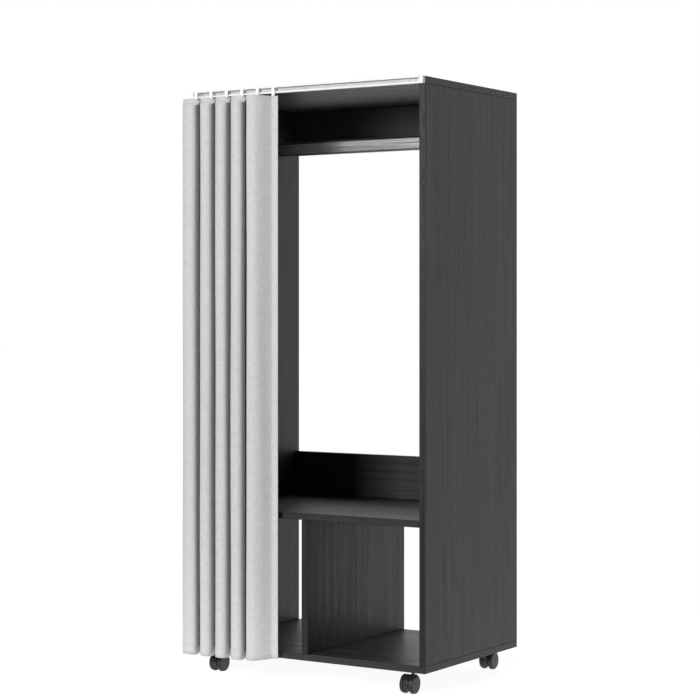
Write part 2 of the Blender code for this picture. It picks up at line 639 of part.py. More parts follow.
def copy_of(first, name, parent, at, turned=0.0):
    """An object that shares a mesh, under a parent and turned about Z."""
    made = bpy.data.objects.new(name, first.data)
    bpy.context.collection.objects.link(made)
    made.parent = parent
    made.location = at
    made.rotation_euler.z = turned
    return made


caster_x = half - CASTER_SIDE_INSET
stem_hole = cylinder(STEM_RADIUS + RUN, -OVERRUN, STEM_DEPTH + RUN)
for row_name, y, heading in (
    ("front", FRONT_Y + CASTER_FRONT_INSET, 0.0),
    ("back", BACK_Y - CASTER_BACK_INSET, math.pi),
):
    for side_name, side in (("left", -1), ("right", 1)):
        name = f"caster_{row_name}_{side_name}"
        swivel = bpy.data.objects.new(f"{name}_swivel", None)
        bpy.context.collection.objects.link(swivel)
        swivel.location = (side * caster_x, y, 0)
        swivel.rotation_euler.z = heading
        copy_of(stem, f"{name}_stem", swivel, (0, 0, 0))
        copy_of(housing, f"{name}_housing", swivel, (0, 0, 0))
        copy_of(axle, f"{name}_axle", swivel, (0, *axle_at))
        # the back casters stand turned by half a turn, so their own left is the other side
        own_left, own_right = ("left", "right") if not heading else ("right", "left")
        copy_of(wheel, f"{name}_wheel_{own_left}", swivel, (-wheel_inside, *axle_at), math.pi)
        copy_of(wheel, f"{name}_wheel_{own_right}", swivel, (wheel_inside, *axle_at))
        drill(bottom_panel, stem_hole, Matrix.Translation((side * caster_x, y, CASTER_HEIGHT)))
for pattern in (stem, housing, axle, wheel):
    bpy.data.objects.remove(pattern)

# The holes that all these pieces need in the boards
for made in boards:
    tools = []
    if made.name in board_cuts:
        tools.append(boolean(made, "DIFFERENCE", board_cuts[made.name], f"{made.name}_holes"))
    settle(made, tools)
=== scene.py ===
"""Dresses the curtain wardrobe: wood-grain laminate, hung linen curtain, white track, satin rod, casters.

Metres, +Z up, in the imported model's own frame. The front faces -Y.
"""

import functools
import json
import math

import bmesh
import bpy
import numpy as np
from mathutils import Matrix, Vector


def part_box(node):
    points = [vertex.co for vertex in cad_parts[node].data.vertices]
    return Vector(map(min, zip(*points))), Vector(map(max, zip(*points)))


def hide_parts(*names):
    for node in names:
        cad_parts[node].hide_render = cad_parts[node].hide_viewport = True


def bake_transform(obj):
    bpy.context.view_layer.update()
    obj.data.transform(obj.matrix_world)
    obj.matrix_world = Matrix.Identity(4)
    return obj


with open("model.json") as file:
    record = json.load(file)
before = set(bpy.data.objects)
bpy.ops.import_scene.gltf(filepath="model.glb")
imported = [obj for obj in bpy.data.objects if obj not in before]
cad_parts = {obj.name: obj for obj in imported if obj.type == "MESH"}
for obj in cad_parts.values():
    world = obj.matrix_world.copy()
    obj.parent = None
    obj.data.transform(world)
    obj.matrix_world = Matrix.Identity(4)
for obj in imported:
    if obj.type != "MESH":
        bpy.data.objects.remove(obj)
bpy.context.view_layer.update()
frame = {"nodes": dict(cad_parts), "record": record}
nodes = frame["nodes"]

# Camera, fitted to the corners of the box that show in the photograph
CAMERA_AT = (2.92605, -4.57049, 0.97579)
CAMERA_AZIMUTH = math.radians(32.589)
CAMERA_LENS_MM = 103.683
SENSOR_MM = 36.0
CAMERA_SHIFT_Y = -0.05879

# Light
SEEN_WHITE = 1.0  # of the surroundings in the picture, from every side
BACK_GLOW = 1.0  # of the world's light behind the wardrobe
FRONT_GLOW = 0.08  # and in front of it
GLOW_AXIS = (0.0, 1.0, 0.0)
GLOW_START = 0.15  # the cosine to the axis at which the glow begins to rise
GLOW_END = 0.72
KEY_AT = (-0.1, -5.0, 2.1)
KEY_AIM = (-0.1, -0.2, 0.8)
KEY_SIZE = 1.6
KEY_POWER = 272.0

# Floor
FLOOR_HALF = 30.0
FLOOR_SEEN = 0.93  # leaves room for the light that falls on the floor
FLOOR_GLOW = 0.93  # of the floor's light beside and behind the wardrobe
FLOOR_FRONT_GLOW = 0.06
# (way out on the floor, where its light begins to fade, where it has faded)
FLOOR_FADES = (((0.539, -0.843), 0.20, 0.75), ((-0.740, -0.672), 0.75, 1.25))
FLOOR_WAVES = 3.0
FLOOR_STOPS = ((0.3, 0.15), (0.7, 0.17))  # (place in the noise, grey), as in all the stops

# Laminate. Each layer of its print has its waves a metre across the grain and along it
FINE_WAVES = (820.0, 14.0)
STREAK_WAVES = (250.0, 2.0)
BROAD_WAVES = (24.0, 0.6)
PORE_WAVES = (1500.0, 32.0)
PATCH_WAVES = (24.0, 5.0)
FINE_SHARE = 0.15  # of each layer in the tone of the grain
STREAK_SHARE = 0.75
BROAD_SHARE = 0.10
PATCH_CONTRAST = (0.2, 1.5)  # how strong the grain is in its faintest and in its strongest patches
WOOD_STOPS = (
    (0.43, (0.0020, 0.0021, 0.0023)),
    (0.50, (0.0110, 0.0111, 0.0115)),
    (0.58, (0.0480, 0.0481, 0.0490)),
)
WOOD_ROUGHNESS = (0.30, 0.60)
WOOD_RELIEF = 0.00012
WOOD_RELIEF_STRENGTH = 0.6
STREAK_RELIEF_SHARE = 0.5
PORE_START = 0.60  # where in its noise a pore begins, and where it is full
PORE_END = 0.72
PORE_COVER = 0.55
PORE_COLOUR = (0.005, 0.005, 0.0052, 1)
PORE_ROUGHNESS = 0.08  # more than the wood around it
BAND_WAVES = 60.0
UPRIGHT_BAND_STOPS = ((0.3, 0.0070), (0.7, 0.0105))
LEVEL_BAND_STOPS = ((0.3, 0.0150), (0.7, 0.0190))
SQUARE_ON = 0.9  # how squarely a banded face looks along its axis

# Linen, in waves a metre of the flat cloth
THREAD_WAVES = 260.0
THREAD_WANDER = 1.2
THREAD_WANDER_SCALE = 0.4
SLUB_WAVES = (14.0, 900.0)  # along a slub and across it
MOTTLE_WAVES = (95.0, 60.0, 1.0)
SLUB_SHARE = 0.6  # of each in the tone of the cloth
MOTTLE_SHARE = 0.4
LINEN_STOPS = (
    (0.36, (0.470, 0.472, 0.477)),
    (0.50, (0.520, 0.521, 0.525)),
    (0.64, (0.565, 0.566, 0.569)),
)
LINEN_RELIEF = 0.00010
LINEN_RELIEF_STRENGTH = 0.5
SLUB_RELIEF_SHARE = 1.4
LINEN_SHEEN = 0.12
LINEN_SHEEN_ROUGHNESS = 0.5

# Plastic, enamel and turned metal
PLAIN_BROAD_WAVES = 18.0
PLAIN_FINE_SHARE = 0.4
PLAIN_BROAD_SHARE = 0.6
PLAIN_ROUGHNESS_SPAN = (0.85, 1.2)  # of the finish's own roughness
PLAIN_RELIEF_FINER = 8  # times as fine as the mottle
PLAIN_RELIEF_STRENGTH = 0.4

# Rod. The waves a metre run along the tube, then across it
DRAWN_WAVES = (3.0, 1400.0, 1400.0)
CLOUDY_WAVES = (9.0, 260.0, 260.0)
STEEL_STOPS = ((0.34, (0.40, 0.395, 0.39)), (0.66, (0.62, 0.61, 0.60)))
STEEL_ROUGHNESS = (0.22, 0.40)
STEEL_RELIEF = 0.00002
STEEL_RELIEF_STRENGTH = 0.5

# Track
TRACK_LIP = 0.0017  # a little more than the wall's thickness
# painted shade: the grey laid inside the track's channel, in place of the shade that falls in it
CHANNEL_SHADE_WAVES = 150.0
CHANNEL_SHADE_STOPS = ((0.35, 0.47), (0.65, 0.54))

# Casters
DISC_GREYS = ((0.028, 0.028, 0.029), (0.046, 0.046, 0.047))
HOUSING_GREYS = ((0.010, 0.010, 0.011), (0.018, 0.018, 0.019))
TYRE_WAVES = 300.0
TYRE_STOPS = ((0.35, 0.006), (0.65, 0.010))
TYRE_HEIGHT = 0.0033

# Curtain
CLOTH = 0.0010
CLOTH_GAP = 0.0004  # between the cloth and the gliders' tongues
LINE_SAMPLES = 16  # points that smooth the folds' line between two of its shares
COLUMN_STEP = 4  # and every how many of them the grid takes one
ROWS = 90
TOP_ROWS_SHARE = 0.24  # the share of the rows that lie in the top stretch
TOP_STRETCH = 0.060
PINCH_START = 0.006  # below the top, where the drawn-in pleats begin to open
PINCH_END = 0.020
FREE_TOP_SAG = 0.003
FREE_HEM_RISE = 0.006
TOP_DIP = 0.0065  # of the top edge at each fold's right corner
TOP_DIP_AT_SHARE = 0.64  # of the pitch, from the hook before
TOP_DIP_HALF_SHARE = 0.14
TOP_DIP_FADE = 0.030
FOOT_HEM = 0.024
TOP_HEM = 0.026
SIDE_HEM = 0.0065
HEM_PROUD = 0.0003  # how far a turned hem stands proud on each side
HEM_STEP = 0.0004  # the width of its edge
SWAY = 0.0008  # how far the folds wander on their way down
SWAY_FULL = 0.15  # below the top, where they have their full sway
# (size, radians for each metre up, radians for each hook along)
SWAY_WAVES = ((1.0, 4.1, 9.0), (0.6, 9.7, 5.0))
STITCH_PITCH = 0.0040
STITCH_LENGTH = 0.0027
STITCH_THICK = 0.0006
STITCH_INSET = 0.0015  # from a hem's edge
STITCH_SIDES = 6
STITCH_SHOULDER = 0.32  # of its length, from its middle
STITCH_SEAT = 0.2  # of its thickness, above the cloth
# (share of the pitch from the hook before, share of the fold's depth)
FOLD_SHARES = (
    (0.30, 0.020), (0.56, 0.060), (0.68, 0.180), (0.735, 0.36), (0.75, 0.54), (0.77, 0.67), (0.82, 0.76),
    (0.92, 0.86), (1.03, 0.94), (1.14, 0.985), (1.25, 1.00), (1.35, 0.986), (1.435, 0.937), (1.493, 0.86),
    (1.52, 0.76), (1.525, 0.64), (1.512, 0.50), (1.475, 0.365), (1.39, 0.25), (1.25, 0.165), (1.10, 0.11),
    (0.985, 0.05), (1.00, 0.00),
)
# the same fold where it is drawn in at the top
PINCHED_SHARES = (
    (0.30, 0.020), (0.56, 0.060), (0.68, 0.170), (0.735, 0.33), (0.75, 0.50), (0.77, 0.61), (0.82, 0.69),
    (0.93, 0.78), (1.05, 0.84), (1.18, 0.868), (1.31, 0.860), (1.44, 0.825), (1.57, 0.77), (1.655, 0.71),
    (1.69, 0.61), (1.68, 0.49), (1.60, 0.36), (1.46, 0.25), (1.29, 0.165), (1.11, 0.11), (0.985, 0.05),
    (0.99, 0.02), (1.00, 0.00),
)
FOLD_RIDGE = 10  # the point at a fold's ridge, from which the first fold is like the others
# up to its ridge the first fold is the cloth's left edge
FIRST_EDGE_SHARES = (
    (0.63, 0.05), (0.575, 0.28), (0.575, 0.48), (0.60, 0.62), (0.66, 0.735), (0.79, 0.855), (0.945, 0.935),
    (1.10, 0.985),
)
PINCHED_EDGE_SHARES = (
    (0.63, 0.05), (0.575, 0.26), (0.575, 0.45), (0.60, 0.57), (0.66, 0.665), (0.80, 0.77), (0.97, 0.84),
    (1.14, 0.868),
)
# from the fourth hook: a flat pleat behind, the fifth hook, the broad fold in front of it, the sixth hook
LAST_SHARES = (
    (0.30, 0.010), (0.60, 0.005), (0.86, 0.005), (0.92, 0.015), (0.935, 0.040), (0.91, 0.065), (0.85, 0.075),
    (0.60, 0.075), (0.42, 0.080), (0.375, 0.105), (0.42, 0.135), (0.60, 0.142), (0.90, 0.140), (0.975, 0.125),
    (1.00, 0.075), (1.00, 0.000), (1.05, 0.020), (1.075, 0.09), (1.06, 0.17), (1.00, 0.205), (0.88, 0.215),
    (0.79, 0.245), (0.73, 0.33), (0.715, 0.48), (0.735, 0.60), (0.79, 0.69), (0.89, 0.765), (1.02, 0.805),
    (1.16, 0.815), (1.30, 0.785), (1.44, 0.70), (1.58, 0.565), (1.71, 0.40), (1.82, 0.245), (1.91, 0.12),
    (1.98, 0.04), (2.06, 0.005), (2.16, 0.00), (2.26, 0.01), (2.37, 0.03),
)


# Nodes of materials
def add(tree, kind, inputs=None, **settings):
    """A node with its settings, and its inputs from values or from other nodes' outputs."""
    made = tree.nodes.new(kind)
    for key, value in settings.items():
        setattr(made, key, value)
    for key, value in (inputs or {}).items():
        if isinstance(value, bpy.types.NodeSocket):
            tree.links.new(value, made.inputs[key])
        else:
            made.inputs[key].default_value = value
    return made


def finish(name, roughness, metallic=0.0, specular=0.5):
    """A new material with its tree and its shader."""
    made = bpy.data.materials.new(name)
    made.use_nodes = True
    tree = made.node_tree
    shader = tree.nodes["Principled BSDF"]
    shader.inputs["Roughness"].default_value = roughness
    shader.inputs["Metallic"].default_value = metallic
    shader.inputs["Specular IOR Level"].default_value = specular
    return made, tree, shader


def coordinates(tree, source="Object"):
    return add(tree, "ShaderNodeTexCoord").outputs[source]


def axes(tree, vector):
    """A vector's parts, under the names X, Y and Z."""
    return add(tree, "ShaderNodeSeparateXYZ", {0: vector}).outputs


def noise(tree, scale, detail=3.0, source="Object", rough=0.55):
    """Noise with its own scale along each axis, in waves a metre. The result lies around one half."""
    mapped = add(tree, "ShaderNodeMapping", {"Vector": coordinates(tree, source), "Scale": scale})
    made = add(tree, "ShaderNodeTexNoise", {
        "Vector": mapped.outputs[0], "Scale": 1.0, "Detail": detail, "Roughness": rough,
    })
    return made.outputs["Fac"]


def maths(tree, operation, first, second=0.0):
    return add(tree, "ShaderNodeMath", {0: first, 1: second}, operation=operation).outputs[0]


def weighted(tree, *pairs):
    """The sum of values, each times its weight."""
    total = None
    for value, weight in pairs:
        part = maths(tree, "MULTIPLY", value, weight)
        total = part if total is None else maths(tree, "ADD", total, part)
    return total


def dot(tree, vector, way):
    """How far a vector reaches along a way."""
    made = add(tree, "ShaderNodeVectorMath", {0: vector, 1: way}, operation="DOT_PRODUCT")
    return made.outputs["Value"]


def ramp(tree, value, stops):
    """A colour ramp from (place, grey or colour) stops."""
    made = add(tree, "ShaderNodeValToRGB", {"Fac": value})
    for k, (place, colour) in enumerate(stops):
        stop = made.color_ramp.elements[k] if k < 2 else made.color_ramp.elements.new(place)
        stop.position = place
        stop.color = (*colour, 1) if hasattr(colour, "__len__") else (colour, colour, colour, 1)
    return made.outputs["Color"]


def mottled(tree, waves, stops):
    """An even mottle in the colours of its stops."""
    return ramp(tree, noise(tree, (waves, waves, waves)), stops)


def spread(tree, value, low, high, start=0.3, end=0.7, easing="LINEAR"):
    """A value between start and end, where most of a noise lies, brought to the range from low to high."""
    made = add(tree, "ShaderNodeMapRange", {
        "Value": value, "From Min": start, "From Max": end, "To Min": low, "To Max": high,
    }, interpolation_type=easing)
    return made.outputs["Result"]


def mixed(tree, share, first, second, kind="RGBA"):
    """The first value where the share is 0, and the second where it is 1."""
    made = add(tree, "ShaderNodeMix", {"Factor": share, "A": first, "B": second}, data_type=kind)
    return made.outputs["Result"]


def paint(tree, shader, colour):
    tree.links.new(colour, shader.inputs["Base Color"])


def paint_over(made, share, colour):
    """Lays a second colour over a finished material's own."""
    shader = made.node_tree.nodes["Principled BSDF"]
    own = shader.inputs["Base Color"].links[0].from_socket
    paint(made.node_tree, shader, mixed(made.node_tree, share, own, colour))


def bump(tree, shader, height, distance, strength):
    """A relief from a height, its distance in metres."""
    made = add(tree, "ShaderNodeBump", {"Height": height, "Distance": distance, "Strength": strength})
    tree.links.new(made.outputs["Normal"], shader.inputs["Normal"])


def facing(tree, axis):
    """How squarely a face looks along a world axis, from 0 to 1."""
    normal = add(tree, "ShaderNodeNewGeometry").outputs["True Normal"]
    return maths(tree, "ABSOLUTE", axes(tree, normal)[axis])


def laminate(name, along, banded, band_stops):
    """Dark wood-grain paper on board, its grain along one axis, with plain bands on the cut edges."""
    made, tree, shader = finish(name, 0.46, specular=0.38)

    def grain(waves, detail, rough=0.55):
        across, lengthwise = waves
        return noise(tree, [lengthwise if axis == along else across for axis in "XYZ"], detail, rough=rough)

    fine = grain(FINE_WAVES, 2.0)
    streaks = grain(STREAK_WAVES, 2.0, 0.6)
    broad = grain(BROAD_WAVES, 2.0)
    pore = spread(tree, grain(PORE_WAVES, 1.0), 0.0, 1.0, PORE_START, PORE_END)
    patches = spread(tree, grain(PATCH_WAVES, 1.0), *PATCH_CONTRAST)
    tone = weighted(tree, (fine, FINE_SHARE), (streaks, STREAK_SHARE), (broad, BROAD_SHARE))
    swing = maths(tree, "MULTIPLY", maths(tree, "SUBTRACT", tone, 0.5), patches)
    wood = ramp(tree, maths(tree, "ADD", swing, 0.5), WOOD_STOPS)
    wood = mixed(tree, maths(tree, "MULTIPLY", pore, PORE_COVER), wood, PORE_COLOUR)
    edge = None
    for axis in banded:
        looks = maths(tree, "GREATER_THAN", facing(tree, axis), SQUARE_ON)
        edge = looks if edge is None else maths(tree, "MAXIMUM", edge, looks)
    paint(tree, shader, mixed(tree, edge, wood, mottled(tree, BAND_WAVES, band_stops)))
    dull = maths(tree, "MULTIPLY", pore, PORE_ROUGHNESS)
    rough = maths(tree, "ADD", spread(tree, streaks, *WOOD_ROUGHNESS), dull)
    tree.links.new(rough, shader.inputs["Roughness"])
    raised = maths(tree, "ADD", fine, maths(tree, "MULTIPLY", streaks, STREAK_RELIEF_SHARE))
    bump(tree, shader, maths(tree, "SUBTRACT", raised, pore), WOOD_RELIEF, WOOD_RELIEF_STRENGTH)
    return made


def linen():
    """Light grey linen-look cloth: a plain weave with slubs, in the cloth's own flat metres."""
    made, tree, shader = finish("linen_cloth", 0.92, specular=0.18)
    threads, uneven = [], []
    for turn, slub in ((0.0, SLUB_WAVES), (math.pi / 2, SLUB_WAVES[::-1])):
        turned = add(tree, "ShaderNodeMapping", {"Vector": coordinates(tree, "UV"), "Rotation": (0, 0, turn)})
        wave = add(tree, "ShaderNodeTexWave", {
            "Vector": turned.outputs[0], "Scale": THREAD_WAVES, "Distortion": THREAD_WANDER, "Detail": 1.0,
            "Detail Scale": THREAD_WANDER_SCALE,
        }, wave_type="BANDS", bands_direction="X")
        threads.append(wave.outputs["Fac"])
        uneven.append(noise(tree, (*slub, 1.0), 2.0, "UV", 0.5))
    slubs = maths(tree, "MULTIPLY", maths(tree, "ADD", *uneven), 0.5)
    mottle = noise(tree, MOTTLE_WAVES, 3.0, "UV", 0.5)
    tone = weighted(tree, (slubs, SLUB_SHARE), (mottle, MOTTLE_SHARE))
    paint(tree, shader, ramp(tree, tone, LINEN_STOPS))
    weave = maths(tree, "MAXIMUM", *threads)
    relief = maths(tree, "ADD", weave, maths(tree, "MULTIPLY", slubs, SLUB_RELIEF_SHARE))
    bump(tree, shader, relief, LINEN_RELIEF, LINEN_RELIEF_STRENGTH)
    shader.inputs["Sheen Weight"].default_value = LINEN_SHEEN
    shader.inputs["Sheen Roughness"].default_value = LINEN_SHEEN_ROUGHNESS
    return made


def plain_finish(name, low, high, roughness, metallic=0.0, specular=0.5, waves=220.0, relief=0.00002):
    """Moulded plastic, enamel, thread or metal: a faint mottle in colour and gloss, and a fine relief."""
    made, tree, shader = finish(name, roughness, metallic, specular)
    fine = noise(tree, (waves, waves, waves), 4.0)
    broad = noise(tree, (PLAIN_BROAD_WAVES,) * 3, 3.0)
    tone = weighted(tree, (fine, PLAIN_FINE_SHARE), (broad, PLAIN_BROAD_SHARE))
    paint(tree, shader, ramp(tree, tone, ((0.35, low), (0.65, high))))
    rough = spread(tree, fine, *(roughness * span for span in PLAIN_ROUGHNESS_SPAN))
    tree.links.new(rough, shader.inputs["Roughness"])
    grit = noise(tree, (waves * PLAIN_RELIEF_FINER,) * 3, 2.0)
    bump(tree, shader, grit, relief, PLAIN_RELIEF_STRENGTH)
    return made


def satin_steel():
    """Drawn tube: fine scratches that run along it."""
    made, tree, shader = finish("satin_steel", 0.30, 1.0)
    drawn = noise(tree, DRAWN_WAVES)
    cloudy = noise(tree, CLOUDY_WAVES)
    paint(tree, shader, ramp(tree, weighted(tree, (drawn, 0.5), (cloudy, 0.5)), STEEL_STOPS))
    tree.links.new(spread(tree, drawn, *STEEL_ROUGHNESS), shader.inputs["Roughness"])
    bump(tree, shader, drawn, STEEL_RELIEF, STEEL_RELIEF_STRENGTH)
    return made


def track_enamel_painted_shade():
    """White enamel with painted shade: the inside of the channel is painted greyer, standing in for the shade
    that falls there.
    """
    made = plain_finish("white_enamel_channel_shade", (0.72, 0.72, 0.73), (0.78, 0.78, 0.785), 0.34)
    tree = made.node_tree
    low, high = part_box("curtain_track")
    apart = axes(tree, coordinates(tree))
    deep = maths(tree, "GREATER_THAN", apart["Y"], low.y + TRACK_LIP)
    rise = maths(tree, "ABSOLUTE", maths(tree, "SUBTRACT", apart["Z"], (low.z + high.z) / 2))
    between = maths(tree, "LESS_THAN", rise, (high.z - low.z) / 2 - TRACK_LIP)
    # painted shade: the faces behind the lips and between them, inside the channel, are painted grey
    inside = maths(tree, "MULTIPLY", deep, between)
    paint_over(made, inside, mottled(tree, CHANNEL_SHADE_WAVES, CHANNEL_SHADE_STOPS))
    return made


def wheel_plastic(name, axle_y, axle_z):
    """Dark grey moulding whose tyre, told by its distance from the axle, is darker than the disc in it.

    The wheel stands on the floor, so the axle's height is its radius.
    """
    made = plain_finish(name, *DISC_GREYS, 0.46)
    tree = made.node_tree
    axle = (0, axle_y, axle_z)
    away = add(tree, "ShaderNodeVectorMath", {0: coordinates(tree), 1: axle}, operation="SUBTRACT")
    apart = axes(tree, away.outputs[0])
    squares = [maths(tree, "POWER", apart[axis], 2.0) for axis in "YZ"]
    reach = maths(tree, "SQRT", maths(tree, "ADD", *squares))
    tyre = maths(tree, "GREATER_THAN", reach, axle_z - TYRE_HEIGHT)
    paint_over(made, tyre, mottled(tree, TYRE_WAVES, TYRE_STOPS))
    return made


# Boards
upright = laminate("laminate_upright", "Z", "Y", UPRIGHT_BAND_STOPS)
level = laminate("laminate_level", "X", "XY", LEVEL_BAND_STOPS)
for name in ("left_side_panel", "right_side_panel", "divider"):
    nodes[name].data.materials[0] = upright
for name in ("bottom_panel", "top_panel", "shelf", "top_back_board", "middle_back_board"):
    nodes[name].data.materials[0] = level

# The other pieces that keep their shape
FINISHES = {
    "beech": plain_finish("turned_beech", (0.50, 0.34, 0.19), (0.68, 0.50, 0.31), 0.65, waves=400.0),
    "zinc": plain_finish("zinc_plate", (0.48, 0.49, 0.50), (0.66, 0.67, 0.68), 0.34, 1.0),
    "steel": plain_finish("turned_steel", (0.42, 0.42, 0.43), (0.60, 0.60, 0.61), 0.30, 1.0),
    "satin_steel": satin_steel(),
    "track_white": track_enamel_painted_shade(),
    "plastic_white": plain_finish("white_plastic", (0.82, 0.82, 0.82), (0.88, 0.88, 0.88), 0.42),
    "plastic_grey": plain_finish("housing_plastic", *HOUSING_GREYS, 0.42),
}
for part in frame["record"]["subparts"]:
    if part["material_slot"] in FINISHES:
        nodes[part["node"]].data.materials[0] = FINISHES[part["material_slot"]]
for row in ("front", "back"):
    low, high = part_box(f"caster_{row}_left_wheel_left")
    skin = wheel_plastic(f"{row}_wheel_plastic", (low.y + high.y) / 2, (low.z + high.z) / 2)
    for side in ("left", "right"):
        for wheel in ("left", "right"):
            nodes[f"caster_{row}_{side}_wheel_{wheel}"].data.materials[0] = skin


# Curtain
def smooth_step(share):
    """0 up to 0, 1 from 1 on, and an even ease between."""
    share = np.clip(share, 0, 1)
    return share * share * (3 - 2 * share)


def through(points, samples):
    """A smooth line through points, with samples to each stretch."""
    padded = np.vstack([2 * points[0] - points[1], points, 2 * points[-1] - points[-2]])
    line = []
    for a, b, c, d in zip(padded, padded[1:], padded[2:], padded[3:]):
        slope = (c - a) / 2
        bend = a - 2.5 * b + 2 * c - d / 2
        twist = 1.5 * (b - c) + (d - a) / 2
        line += [b + slope * t + bend * t * t + twist * t ** 3 for t in np.arange(samples) / samples]
    return np.array([*line, points[-1]])


gliders = [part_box(f"glider_{k}") for k in range(1, 7)]
hooks = [(low.x + high.x) / 2 for low, high in gliders]
pitch = hooks[1] - hooks[0]
curtain_low, curtain_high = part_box("curtain")
curtain_height = curtain_high.z - curtain_low.z
pocket_y = gliders[0][0].y - CLOTH_GAP - CLOTH / 2
fold_depth = pocket_y - curtain_low.y - CLOTH / 2 - HEM_PROUD


@functools.cache
def folds_line(pinched):
    """The cloth's smooth line at one height, in metres, for pleats drawn in by a share."""
    fold, edge = (
        np.array(plain) + (np.array(drawn) - np.array(plain)) * pinched
        for plain, drawn in ((FOLD_SHARES, PINCHED_SHARES), (FIRST_EDGE_SHARES, PINCHED_EDGE_SHARES))
    )
    step = np.array((pitch, 1.0))
    parts = [np.vstack([edge, fold[FOLD_RIDGE:]]) * step + (hooks[0] - pitch, 0)]
    parts += [fold * step + (x, 0) for x in hooks[:3]]
    parts.append(np.array(LAST_SHARES) * step + (hooks[3], 0))
    line = np.vstack(parts)
    return through(np.column_stack([line[:, 0], pocket_y - fold_depth * line[:, 1]]), LINE_SAMPLES)


def reaches(line):
    """How far each point of a line lies from its start."""
    return np.concatenate([[0], np.cumsum(np.linalg.norm(np.diff(line, axis=0), axis=1))])


def at_places(line, places, length):
    """The points of a line at places of its flat length."""
    reach = reaches(line)
    wanted = places / length * reach[-1]
    return np.column_stack([np.interp(wanted, reach, line[:, k]) for k in (0, 1)])


def with_hems(places, edges):
    """Places of a grid with a narrow step at each hem's edge, given as (edge, way to the inside)."""
    steps = [p for edge, way in edges for p in (edge, edge + way * HEM_STEP)]
    kept = [p for p in places if all(abs(p - s) > HEM_STEP for s in steps)]
    return np.array(sorted([*kept, *steps]))


open_line = folds_line(0.0)
flat_width = float(reaches(open_line)[-1])
columns = with_hems(reaches(open_line)[::COLUMN_STEP], ((SIDE_HEM, 1), (flat_width - SIDE_HEM, -1)))
top_rows = round(ROWS * TOP_ROWS_SHARE)
levels = np.concatenate([
    np.linspace(0, curtain_height - TOP_STRETCH, ROWS - top_rows, endpoint=False),
    np.linspace(curtain_height - TOP_STRETCH, curtain_height, top_rows + 1),
])
levels = with_hems(levels, ((FOOT_HEM, 1), (curtain_height - TOP_HEM, -1)))
free_end = hooks[3] + pitch * LAST_SHARES[-1][0]


def cloth_points(level, places):
    """Points of the cloth's middle at one flat height and at places along it."""
    below = curtain_height - level
    pinched = 1 - smooth_step((below - PINCH_START) / (PINCH_END - PINCH_START))
    line = at_places(folds_line(round(float(pinched), 4)), places, flat_width)
    forward = (pocket_y - line[:, 1]) / fold_depth
    turn = line[:, 0] / pitch

    # the free end hangs a little lower at the top and higher at the foot
    sag = smooth_step((line[:, 0] - hooks[4]) / (free_end - hooks[4]))
    foot = curtain_low.z + FREE_HEM_RISE * sag
    top = curtain_high.z - FREE_TOP_SAG * sag

    # the fronts of the folds sway on their way down
    loose = smooth_step(forward) * smooth_step(below / SWAY_FULL)
    wander = sum(size * np.sin(rise * level + across * turn) for size, rise, across in SWAY_WAVES)
    x = line[:, 0] + SWAY * loose * wander

    # the top edge dips at the right corners, in the front of the four folds before the fifth hook
    beside = turn - hooks[0] / pitch - TOP_DIP_AT_SHARE
    corner = smooth_step(1 - np.abs(beside - np.round(beside)) / TOP_DIP_HALF_SHARE)
    front = smooth_step(forward * 3 - 1)
    front *= (line[:, 0] > hooks[0]) & (line[:, 0] < hooks[4])
    dip = TOP_DIP * corner * front * (1 - smooth_step(below / TOP_DIP_FADE))
    return np.column_stack([x, line[:, 1], foot + (top - foot) * level / curtain_height - dip])


def placed(name, mesh, skin):
    """A smooth-shaded object of one mesh, in the scene."""
    mesh.polygons.foreach_set("use_smooth", [True] * len(mesh.polygons))
    mesh.materials.append(skin)
    made = bpy.data.objects.new(name, mesh)
    bpy.context.scene.collection.objects.link(made)
    return made


def make_curtain(skin):
    """The hung sheet: a grid with its flat metres as UV, thickened to cloth that is double at the hems."""
    grid = np.array([cloth_points(level, columns) for level in levels])
    count = len(columns)
    faces = [
        (j * count + i, j * count + i + 1, (j + 1) * count + i + 1, (j + 1) * count + i)
        for j in range(len(levels) - 1) for i in range(count - 1)
    ]
    mesh = bpy.data.meshes.new("curtain_cloth")
    mesh.from_pydata(grid.reshape(-1, 3).tolist(), [], faces)
    layer = mesh.uv_layers.new(name="flat_metres")
    for loop in mesh.loops:
        j, i = divmod(loop.vertex_index, count)
        layer.data[loop.index].uv = (columns[i], levels[j])
    made = placed("curtain_cloth", mesh, skin)
    side = (columns <= SIDE_HEM) | (columns >= flat_width - SIDE_HEM)
    end = (levels <= FOOT_HEM) | (levels >= curtain_height - TOP_HEM)
    double = np.flatnonzero((end[:, None] | side[None, :]).ravel())
    hems = made.vertex_groups.new(name="hems")
    hems.add(double.tolist(), 1.0, "REPLACE")
    thick = made.modifiers.new("cloth", "SOLIDIFY")
    thick.thickness = CLOTH + 2 * HEM_PROUD
    thick.thickness_vertex_group = CLOTH / thick.thickness
    thick.vertex_group = "hems"
    thick.offset = 0
    bpy.context.view_layer.update()
    mesh = bpy.data.meshes.new_from_object(made.evaluated_get(bpy.context.evaluated_depsgraph_get()))
    made.modifiers.clear()
    made.data = mesh
    return made


def stitch_row(start, end):
    """Middles, ways and outward ways of the stitches between two flat (place, level) points."""
    length = math.dist(start, end)
    shares = (np.arange(int(length / STITCH_PITCH)) + 0.5) * STITCH_PITCH / length
    places, heights = (np.array(start) + (np.array(end) - np.array(start)) * shares[:, None]).T
    level_row = start[1] == end[1]

    def at(shift):
        if level_row:
            return cloth_points(start[1], places + shift)
        return np.array([cloth_points(h, np.array([p + shift]))[0] for p, h in zip(places, heights)])

    over = at(STITCH_LENGTH / 2) - at(-STITCH_LENGTH / 2)
    over /= np.linalg.norm(over, axis=1)[:, None]
    up = np.tile((0.0, 0.0, 1.0), (len(over), 1))
    return at(0), over if level_row else up, np.cross(over, up)


